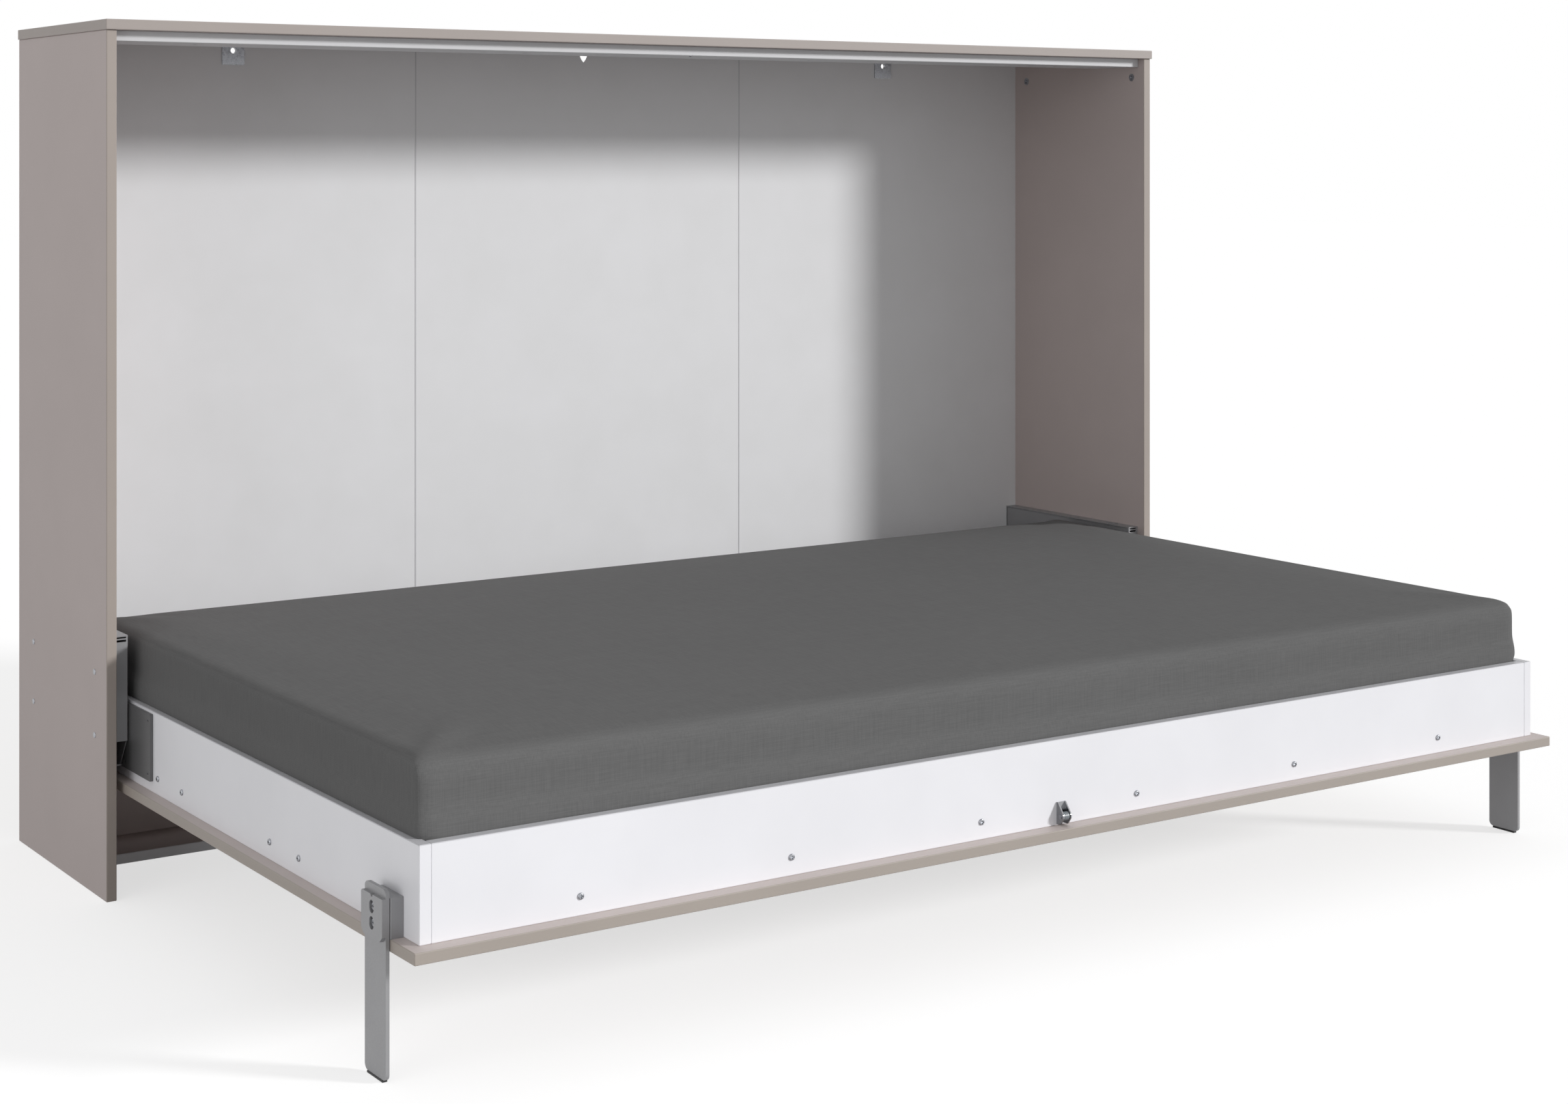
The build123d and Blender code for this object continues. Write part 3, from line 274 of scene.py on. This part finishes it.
# %% The melamine finish, with or without edging
PEARL = 1.6 * MM             # real pearls are 0.3 mm and don't show; these are as fine as the render takes
PEARL_RELIEF = 0.06
PEARL_DEPTH = 0.1 * MM
CLOUD = 160 * MM
CLOUD_TINT = (0.975, 1.02)
BAND = 1.3 * MM              # the edging's thickness on the board
UNEVENNESS = 0.05            # how far the roughness wanders to each side


def melamine(name, face, edging_and_shade, roughness, bands=()):
    """Coated board; past a band (axis, sign, limit) shows its edging, on the white box a painted shade."""
    material, tree, shader, place = new_finish(name)
    tint = ranged(tree, noise(tree, place, CLOUD, 3), *CLOUD_TINT)
    pearls = noise(tree, place, PEARL, 2)
    axes = add(tree, "ShaderNodeSeparateXYZ", {0: place}).outputs
    on_band = 0.0
    for axis, sign, limit in bands:
        past = calculated(tree, "MULTIPLY_ADD", axes[axis], sign, -sign * limit)
        past = calculated(tree, "GREATER_THAN", past, 0.0)
        on_band = calculated(tree, "MAXIMUM", past, on_band)
    base = blended(tree, on_band, hex_colour(face), hex_colour(edging_and_shade))
    shaded = add(tree, "ShaderNodeHueSaturation", {"Color": base, "Value": tint}).outputs[0]
    tree.links.new(shaded, shader.inputs["Base Color"])
    spread = ranged(tree, pearls, roughness - UNEVENNESS, roughness + UNEVENNESS)
    tree.links.new(spread, shader.inputs["Roughness"])
    emboss(tree, shader, pearls, PEARL_RELIEF, PEARL_DEPTH)
    return material


TAUPE = "B5A9A6"
TAUPE_EDGING = "A0968F"
low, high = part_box("left_side_panel")
cabinet_front = low.y + BAND
sides = melamine("taupe_melamine_board", TAUPE, TAUPE_EDGING, 0.5, [(1, -1, cabinet_front)])
dress(sides, "left_side_panel", "right_side_panel")

# %% Boards that show edging on several sides
low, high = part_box("top_panel")
bands = [(1, -1, low.y + BAND), (0, 1, high.x - BAND), (0, -1, low.x + BAND)]
dress(melamine("taupe_melamine_top", TAUPE, "A29994", 0.5, bands), "top_panel")
low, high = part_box("front_panel")
bands = [(1, -1, low.y + BAND), (0, 1, high.x - BAND), (0, -1, low.x + BAND), (1, 1, high.y - BAND)]
dress(melamine("taupe_melamine_bed_panel", "C2B7B3", "A69D95", 0.5, bands), "front_panel")
low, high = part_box("bottom_board")
base_board = melamine("taupe_melamine_base", TAUPE, "E2E2E5", 0.5, [(1, -1, low.y + BAND)])
dress(base_board, "bottom_board")
plain = melamine("taupe_melamine_plain", TAUPE, TAUPE, 0.5)
dress(plain, "plinth_board", "rear_top_rail", "rear_bottom_rail")

# %% [markdown]
# The bed box and the rail under the top are the same board in other colours: white with a cool tint, and
# a light grey whose front edge catches the light.

# %% White box boards and the grey rail
WHITE = "EFEFF3"
WHITE_PAINTED_TOP_SHADE = "C9C9CD"
PAINTED_SHADE_STRIP = 1.17 * MM         # a painted shade along the box's upper edges, under the mattress
low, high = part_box("front_board")
# The white board's second colour is a painted shade: a grey strip along the box's upper edges, where the
# mattress shades them.
white_with_painted_shade = melamine("white_melamine_with_painted_top_shade", WHITE, WHITE_PAINTED_TOP_SHADE, 0.42, [(2, 1, high.z - PAINTED_SHADE_STRIP)])
dress(white_with_painted_shade, "front_board", "rear_board", "left_side_board", "right_side_board")
RAIL_GREY = "CFCFD1"
grey = melamine("light_grey_melamine_rail", RAIL_GREY, RAIL_GREY, 0.4)
dress(grey, "top_rail")

# %% [markdown]
# ## The back
# The back is hardboard, lacquered white on the side that shows. Its other side stays raw: brown, with
# the print of the wire mesh on which the wet fibres were pressed. The seams are covered by plastic
# strips, a tone darker.

# %% Lacquered hardboard with a raw rear
RAW_DEPTH = 0.6 * MM         # the lacquer ends this far before the rear face
FLOW = 90 * MM
FIBRE = 4 * MM
MESH_PITCH = 1.885 * MM
MESH_RELIEF = 0.25
MESH_DEPTH = 0.3 * MM
LACQUER = (hex_colour("DCDCDD"), hex_colour("E3E3E5"))
RAW_BOARD = (hex_colour("6B4A30"), hex_colour("93704E"))
LACQUER_ROUGHNESS = 0.4
RAW_ROUGHNESS = 0.85

low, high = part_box("back_panel_middle")
material, tree, shader, place = new_finish("lacquered_hardboard")
flow = noise(tree, place, FLOW, 2)
fibres = noise(tree, place, FIBRE, 6)
axes = add(tree, "ShaderNodeSeparateXYZ", {0: place}).outputs
rear = calculated(tree, "GREATER_THAN", axes[1], high.y - RAW_DEPTH)
lacquer = blended(tree, flow, *LACQUER)
raw = blended(tree, fibres, *RAW_BOARD)
tree.links.new(blended(tree, rear, lacquer, raw), shader.inputs["Base Color"])
gloss = {0: rear, 3: LACQUER_ROUGHNESS, 4: RAW_ROUGHNESS}
tree.links.new(add(tree, "ShaderNodeMapRange", gloss).outputs[0], shader.inputs["Roughness"])
wires = {"Vector": place, "Scale": WAVE_UNIT / MESH_PITCH}
wires_x = add(tree, "ShaderNodeTexWave", wires, bands_direction="X")
wires_z = add(tree, "ShaderNodeTexWave", wires, bands_direction="Z")
print_of_mesh = calculated(tree, "MULTIPLY", wires_x.outputs[1], wires_z.outputs[1])
height = add(tree, "ShaderNodeMix", {0: rear, 2: flow, 3: print_of_mesh}, data_type="FLOAT").outputs[0]
emboss(tree, shader, height, MESH_RELIEF, MESH_DEPTH)
dress(material, "back_panel_left", "back_panel_middle", "back_panel_right")

# %% The plastic seam strips
DRAW_LINE = 1.5 * MM
DRAW_STRETCH = (1, 1, 0.02)  # lines run up the strip, the way it left the die
STRIP = (hex_colour("BFBFC2"), hex_colour("CACACD"))
STRIP_ROUGHNESS = 0.38
STRIP_RELIEF = 0.1
STRIP_DEPTH = 0.1 * MM

material, tree, shader, place = new_finish("extruded_pvc_strip")
drawn = add(tree, "ShaderNodeMapping", {"Vector": place, "Scale": DRAW_STRETCH}).outputs[0]
lines = noise(tree, drawn, DRAW_LINE, 2)
tree.links.new(blended(tree, lines, *STRIP), shader.inputs["Base Color"])
shader.inputs["Roughness"].default_value = STRIP_ROUGHNESS
emboss(tree, shader, lines, STRIP_RELIEF, STRIP_DEPTH)
dress(material, "back_joint_strips")

# %% [markdown]
# ## Painted steel
# The legs and the spring housings are sheet and flat bar with a silver-grey powder coat. The powder
# melts into a skin with a fine orange-peel relief, and the metal flakes in it make faces that look at
# the lamp much lighter than the others. A partly metallic shader does that; a plain grey one stays flat.

# %% Silver-grey and dark powder coats
ORANGE_PEEL = 2.2 * MM
PEEL_RELIEF = 0.12
PEEL_DEPTH = 0.15 * MM
PEEL_UNEVENNESS = 0.06
PAINT_CLOUD = 45 * MM


def speckled(name, place_size, detail, deep, light):
    """A new finish between two colours, and the noise that mixes them."""
    material, tree, shader, place = new_finish(name)
    patches = noise(tree, place, place_size, detail)
    mixed = blended(tree, patches, hex_colour(deep), hex_colour(light))
    tree.links.new(mixed, shader.inputs["Base Color"])
    return material, tree, shader, place, patches


def powder_coat(name, deep, light, metal, roughness):
    """A powder coat with flakes; metal is how much of it acts as metal."""
    material, tree, shader, place, _ = speckled(name, PAINT_CLOUD, 4, deep, light)
    peel = noise(tree, place, ORANGE_PEEL, 2)
    shader.inputs["Metallic"].default_value = metal
    spread = ranged(tree, peel, roughness - PEEL_UNEVENNESS, roughness + PEEL_UNEVENNESS)
    tree.links.new(spread, shader.inputs["Roughness"])
    emboss(tree, shader, peel, PEEL_RELIEF, PEEL_DEPTH)
    return material


silver = powder_coat("silver_grey_powder_coat", "949496", "9C9C9E", 0.4, 0.42)
dress(silver, "left_leg_bar", "right_leg_bar", "left_leg_head_plate", "right_leg_head_plate")
dress(silver, "left_leg_bracket", "right_leg_bracket")
dress(silver, "left_housing", "right_housing", "left_housing_cover", "right_housing_cover")
dark = powder_coat("dark_grey_powder_coat", "666667", "707071", 0.4, 0.45)
dress(dark, "left_pivot_plate", "right_pivot_plate")

# %% [markdown]
# ## Plated and bare metal
# Screws, bolts, tubes and brackets are zinc plated, which leaves a bluish, slightly cloudy metal. The
# catch and its plunger are chromed and smooth, and the springs are oiled spring wire. All are metals, so
# their base colour is the colour of the reflection, and what differs is how rough and how clean they are.

# %% Zinc, chrome and spring steel
PLATING_RELIEF = 0.08
PLATING_DEPTH = 0.05 * MM


def bare_metal(name, deep, light, roughness, spread, grain):
    """A metal whose roughness wanders by spread over patches of a size in metres."""
    material, tree, shader, place, patches = speckled(name, grain, 5, deep, light)
    shader.inputs["Metallic"].default_value = 1
    wander = ranged(tree, patches, roughness - spread, roughness + spread)
    tree.links.new(wander, shader.inputs["Roughness"])
    emboss(tree, shader, patches, PLATING_RELIEF, PLATING_DEPTH)
    return material


zinc = bare_metal("zinc_plated_steel", "8E9095", "B0B2B7", 0.28, 0.08, 6 * MM)
dress(zinc, "wall_brackets", "cabinet_fittings", "housing_bolts", "box_screws", "plate_screws")
dress(zinc, "left_leg_screws", "right_leg_screws", "pivot_shafts", "pivot_pins", "levers")
dress(zinc, "left_drawbar", "right_drawbar", "spring_tubes", "catch_sleeve")
chrome = bare_metal("chrome_plated_steel", "97989B", "ABACAF", 0.2, 0.04, 10 * MM)
dress(chrome, "roller_bracket", "catch_plunger")
spring_wire = bare_metal("oiled_spring_steel", "4E4E50", "66666A", 0.35, 0.06, 3 * MM)
dress(spring_wire, "left_springs", "right_springs", "catch_spring")

# %% [markdown]
# ## Moulded plastics
# The catch's roller and the pivot bushes are moulded nylon, smooth and faintly glossy. The feet under
# the legs are a softer black plastic with a fine spark-eroded texture that keeps them from slipping.

# %% Nylon and the foot plastic
EROSION_RELIEF = 0.2
EROSION_DEPTH = 0.08 * MM


def moulded(name, deep, light, roughness, texture):
    """A moulded plastic with a texture of a size in metres."""
    material, tree, shader, place, erosion = speckled(name, texture, 3, deep, light)
    spread = ranged(tree, erosion, roughness - UNEVENNESS, roughness + UNEVENNESS)
    tree.links.new(spread, shader.inputs["Roughness"])
    emboss(tree, shader, erosion, EROSION_RELIEF, EROSION_DEPTH)
    return material


dress(moulded("moulded_grey_nylon", "6C7276", "7A8084", 0.35, 2 * MM), "roller", "pivot_bushes")
dress(moulded("moulded_foot_plastic", "232324", "2F2F30", 0.6, 0.8 * MM), "left_foot_pad", "right_foot_pad")

# %% [markdown]
# ## Wood inside the bed
# The mattress lies on birch plywood slats, and these on planed pine battens. Wood's rings are long
# cones, so on a planed piece they show as lines along its length. A wave texture squeezed along the
# length and bent by noise gives them. The battens run along X or Y, and the slats along Y.

# %% Planed pine and birch plywood
GRAIN_STRETCH = 0.06         # a pattern this much shorter across than along the grain
PORE = 0.8 * MM
PORE_RELIEF = 0.15
PORE_DEPTH = 0.1 * MM
RING_SHARE = 0.75            # the rest of the tone comes from the pores
WOOD_UNEVENNESS = 0.08
RING_BEND = {"Distortion": 6, "Detail": 2, "Detail Scale": 0.8}


def planed_wood(name, early, late, ring, lengthways, roughness):
    """Wood with rings of a width in metres; lengthways is the axis of its grain."""
    material, tree, shader, place = new_finish(name)
    squeeze = [1, 1, 1]
    squeeze[lengthways] = GRAIN_STRETCH
    fibre = add(tree, "ShaderNodeMapping", {"Vector": place, "Scale": squeeze}).outputs[0]
    direction = "Y" if lengthways == 0 else "X"
    rings = {"Vector": fibre, "Scale": WAVE_UNIT / ring, **RING_BEND}
    rings = add(tree, "ShaderNodeTexWave", rings, bands_direction=direction)
    pores = noise(tree, fibre, PORE, 4)
    amount = calculated(tree, "MULTIPLY", rings.outputs[1], RING_SHARE)
    amount = calculated(tree, "MULTIPLY_ADD", pores, 1 - RING_SHARE, amount)
    tones = blended(tree, amount, hex_colour(early), hex_colour(late))
    tree.links.new(tones, shader.inputs["Base Color"])
    limits = {0: pores, 3: roughness + WOOD_UNEVENNESS, 4: roughness - WOOD_UNEVENNESS}
    tree.links.new(add(tree, "ShaderNodeMapRange", limits).outputs[0], shader.inputs["Roughness"])
    emboss(tree, shader, pores, PORE_RELIEF, PORE_DEPTH)
    return material


PINE = ("DCC49A", "B98D58")
PINE_RING = 2.513 * MM
PLY_FIGURE = 5.655 * MM
pine_along = planed_wood("planed_pine_along_bed", *PINE, PINE_RING, 0, 0.6)
dress(pine_along, "front_batten", "rear_batten", "centre_beam")
pine_across = planed_wood("planed_pine_across_bed", *PINE, PINE_RING, 1, 0.6)
dress(pine_across, "left_batten", "right_batten")
dress(planed_wood("sanded_birch_plywood", "E2CFA8", "C9AB7C", PLY_FIGURE, 1, 0.5), "slats")
print("pieces without a finish:", sorted(set(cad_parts) - dressed))

# %% [markdown]
# ## The mattress
# A foam mattress in a tightly fitted dark cover. Its long top edges are round, its ends are pressed in
# between the end boards, and its top is very slightly crowned. A solid block with rounded edges has the
# size but not the give of foam, so its copy is turned into an even net of small faces and blown up a
# little as cloth. Everything below the boards' upper edges is held still, because the boards hold it.

# %% A net of even faces over the mattress
VOXEL = 10 * MM              # coarser than for a cushion, because the mattress is two metres long
SHRINK = 3 * MM              # the foam starts this much smaller and swells back
SAME_POINT = 0.01 * MM       # the solid's faces come apart, so points this close are joined

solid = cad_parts["mattress"]
bpy.ops.object.select_all(action="DESELECT")
mattress = bpy.data.objects.new("foam_mattress", solid.data.copy())
bpy.context.scene.collection.objects.link(mattress)
bpy.context.view_layer.objects.active = mattress
mattress.select_set(True)
mattress.data.materials.clear()
bpy.ops.object.mode_set(mode="EDIT")
bpy.ops.mesh.select_all(action="SELECT")
bpy.ops.mesh.remove_doubles(threshold=SAME_POINT)
bpy.ops.object.mode_set(mode="OBJECT")
net = mattress.modifiers.new("net", "REMESH")
net.mode = "VOXEL"
net.voxel_size = VOXEL
bpy.ops.object.modifier_apply(modifier=net.name)
print("faces of the net:", len(mattress.data.polygons))

# %% Where the foam is free to swell
HELD_ABOVE_BOARDS = 6 * MM
FREE_OVER = 45 * MM          # the height over which the foam comes free

boards_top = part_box("front_board")[1].z
free_from = boards_top + HELD_ABOVE_BOARDS
held = mattress.vertex_groups.new(name="held")
for point in mattress.data.vertices:
    rise = (point.co.z - free_from) / FREE_OVER
    held.add([point.index], max(0.0, min(1.0, 1 - rise)), "REPLACE")
    if rise > 0:
        point.co.z -= SHRINK * min(1.0, rise)
print("free above", round(free_from, 3), "m")

# %% Blow the foam up as cloth
PRESSURE = 4
LAST_FRAME = 20
MOST_SWELL = 5 * MM

start_shape = [point.co.copy() for point in mattress.data.vertices]
cloth = mattress.modifiers.new("foam", "CLOTH")
cloth.settings.use_pressure = True
cloth.settings.uniform_pressure_force = PRESSURE
cloth.settings.vertex_group_mass = "held"
cloth.settings.effector_weights.gravity = 0
cloth.point_cache.frame_end = LAST_FRAME
for number in range(1, LAST_FRAME + 1):
    bpy.context.scene.frame_set(number)
bpy.ops.object.modifier_apply(modifier=cloth.name)
moved = 0.0
for point, start in zip(mattress.data.vertices, start_shape):
    step = point.co - start
    moved = max(moved, step.length)
    if step.length > MOST_SWELL:
        point.co = start + step.normalized() * MOST_SWELL
print("largest swell before the cap:", round(moved / MM, 1), "mm")
bpy.context.scene.frame_set(1)

# %% [markdown]
# Voxels leave faint steps on slow curves. A few rounds of smoothing take them out, one subdivision
# rounds what is left, and smooth shading does the rest.

# %% Smooth the net
SMOOTHING = 2
SMOOTH_FACTOR = 0.5

soft = mattress.modifiers.new("even", "SMOOTH")
soft.factor = SMOOTH_FACTOR
soft.iterations = SMOOTHING
bpy.ops.object.modifier_apply(modifier=soft.name)
finer = mattress.modifiers.new("finer", "SUBSURF")
finer.levels = finer.render_levels = 1
bpy.ops.object.modifier_apply(modifier=finer.name)
bpy.ops.object.shade_smooth()
print("mattress height:", round(max(p.co.z for p in mattress.data.vertices), 4), "m")

# %% [markdown]
# ## The mattress cover
# The cover is a plain-woven polyester cloth in dark grey. Its threads are half a millimetre apart, too
# fine to show, so the weave is drawn at 2.4 mm. Plain weave is one wave per thread direction, and which
# two directions a face shows depends on which way it looks, so the object's normal chooses between
# them. Slubs, the thick places in a yarn, are noise drawn out along a thread.

# %% Woven cloth
THREAD = 2.4 * MM
SLUB = 1.6 * MM
SLUB_STRETCHES = ((0.04, 1, 1), (1, 1, 0.04), (1, 0.04, 1))
FADING = 300 * MM            # slow changes of the dye
FACING = 0.7                 # a face points along an axis when its normal has this much of it
WEAVE_SHARE, SLUB_SHARE, FADING_SHARE = 0.10, 0.5, 0.12
SHADE_RANGE = (0.35, 0.85)
COVER = (hex_colour("636363"), hex_colour("707070"))
COVER_ROUGHNESS = 0.9
COVER_SPECULAR = 0.05
COVER_SHEEN = 0.02
SHEEN_ROUGHNESS = 0.5
WEAVE_RELIEF = 0.2
WEAVE_DEPTH = 0.3 * MM

material, tree, shader, place = new_finish("woven_polyester_cover")
normal = add(tree, "ShaderNodeTexCoord").outputs["Normal"]
facing = add(tree, "ShaderNodeSeparateXYZ", {0: normal}).outputs
threads = {"Vector": place, "Scale": WAVE_UNIT / THREAD}
along_x = add(tree, "ShaderNodeTexWave", threads, bands_direction="X").outputs[1]
along_y = add(tree, "ShaderNodeTexWave", threads, bands_direction="Y").outputs[1]
along_z = add(tree, "ShaderNodeTexWave", threads, bands_direction="Z").outputs[1]
is_end = calculated(tree, "GREATER_THAN", calculated(tree, "ABSOLUTE", facing[0]), FACING)
is_top = calculated(tree, "GREATER_THAN", calculated(tree, "ABSOLUTE", facing[2]), FACING)
warp = add(tree, "ShaderNodeMix", {0: is_end, 2: along_x, 3: along_y}, data_type="FLOAT").outputs[0]
weft = add(tree, "ShaderNodeMix", {0: is_top, 2: along_z, 3: along_y}, data_type="FLOAT").outputs[0]
weave = calculated(tree, "MULTIPLY", warp, weft)
slubs_along = []
for stretch in SLUB_STRETCHES:
    drawn = add(tree, "ShaderNodeMapping", {"Vector": place, "Scale": stretch}).outputs[0]
    slubs_along.append(noise(tree, drawn, SLUB, 2))
up = {0: is_top, 2: slubs_along[1], 3: slubs_along[2]}
up = add(tree, "ShaderNodeMix", up, data_type="FLOAT").outputs[0]
slubs = calculated(tree, "ADD", slubs_along[0], up)
shade = calculated(tree, "MULTIPLY", weave, WEAVE_SHARE)
shade = calculated(tree, "MULTIPLY_ADD", slubs, SLUB_SHARE, shade)
shade = calculated(tree, "MULTIPLY_ADD", noise(tree, place, FADING, 3), FADING_SHARE, shade)
shade = {0: shade, 1: SHADE_RANGE[0], 2: SHADE_RANGE[1]}
shade = add(tree, "ShaderNodeMapRange", shade).outputs[0]
tree.links.new(blended(tree, shade, *COVER), shader.inputs["Base Color"])
shader.inputs["Roughness"].default_value = COVER_ROUGHNESS
shader.inputs["Specular IOR Level"].default_value = COVER_SPECULAR
shader.inputs["Sheen Weight"].default_value = COVER_SHEEN
shader.inputs["Sheen Roughness"].default_value = SHEEN_ROUGHNESS
height = calculated(tree, "MULTIPLY_ADD", slubs, SLUB_SHARE, weave)
emboss(tree, shader, height, WEAVE_RELIEF, WEAVE_DEPTH)
mattress.data.materials.append(material)
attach(mattress, "bed")
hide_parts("mattress")
print("mattress triangles:", sum(len(face.vertices) - 2 for face in mattress.data.polygons))

# %% [markdown]
# ## The size
# The finish may not change the bed's size, so the box round the CAD solids and the box round all that
# now shows are written down side by side.

# %% Compare the two boxes
shown_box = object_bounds()
for side, cad_corner, shown_corner in zip(("low", "high"), cad_box, shown_box):
    print(side, [round((b - a) / MM, 2) for a, b in zip(cad_corner, shown_corner)], "mm apart")
